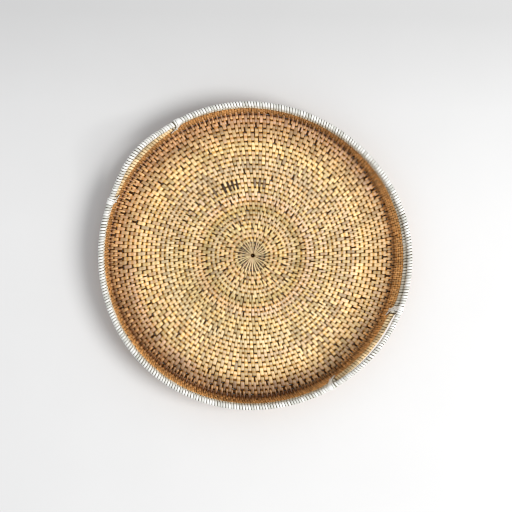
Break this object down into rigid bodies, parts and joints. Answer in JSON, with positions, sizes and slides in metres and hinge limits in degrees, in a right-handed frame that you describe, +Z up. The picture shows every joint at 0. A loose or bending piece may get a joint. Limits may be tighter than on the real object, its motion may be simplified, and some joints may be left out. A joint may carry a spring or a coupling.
{
  "type": "winnowing basket",
  "caption": "Round coiled rattan tray with a low flared wall, a white-wrapped rim and two arched handles for tossing, carrying or serving.",
  "frame": {"origin": "middle of the underside, on the surface that the basket stands on", "axes": "+Z up out of the open tray, the two handles at +X and -X"},
  "size_m": [0.45, 0.45, 0.0744],
  "materials": {
    "coil_rod": "peeled round rattan core, matt",
    "floor_binding": "split rattan strip, straw to honey coloured, satin",
    "wall_binding": "split rattan strip, brown-orange, satin",
    "rim_rod": "round rattan rod, matt",
    "white_wrap": "flat strip, painted white, satin",
    "white_lashing": "flat strip, painted white, satin"
  },
  "bodies": {
    "root": {"floor_binding_1": "floor_binding", "floor_binding_2": "floor_binding", "floor_binding_3": "floor_binding", "floor_binding_4": "floor_binding", "floor_binding_5": "floor_binding", "floor_rod_1": "coil_rod", "floor_rod_2": "coil_rod", "floor_rod_3": "coil_rod", "floor_rod_4": "coil_rod", "floor_rod_5": "coil_rod", "handle_wrap_left": "white_wrap", "handle_wrap_right": "white_wrap", "lashing_left_back": "white_lashing", "lashing_left_front": "white_lashing", "lashing_right_back": "white_lashing", "lashing_right_front": "white_lashing", "rim_lower_rod": "rim_rod", "rim_lower_wrap_back": "white_wrap", "rim_lower_wrap_front": "white_wrap", "rim_upper_rod": "rim_rod", "rim_upper_wrap_back": "white_wrap", "rim_upper_wrap_front": "white_wrap", "sill_binding_left": "floor_binding", "sill_binding_right": "floor_binding", "wall_binding_1": "wall_binding", "wall_binding_2": "wall_binding", "wall_rod_1": "coil_rod", "wall_rod_2": "coil_rod"}
  },
  "joints": []
}
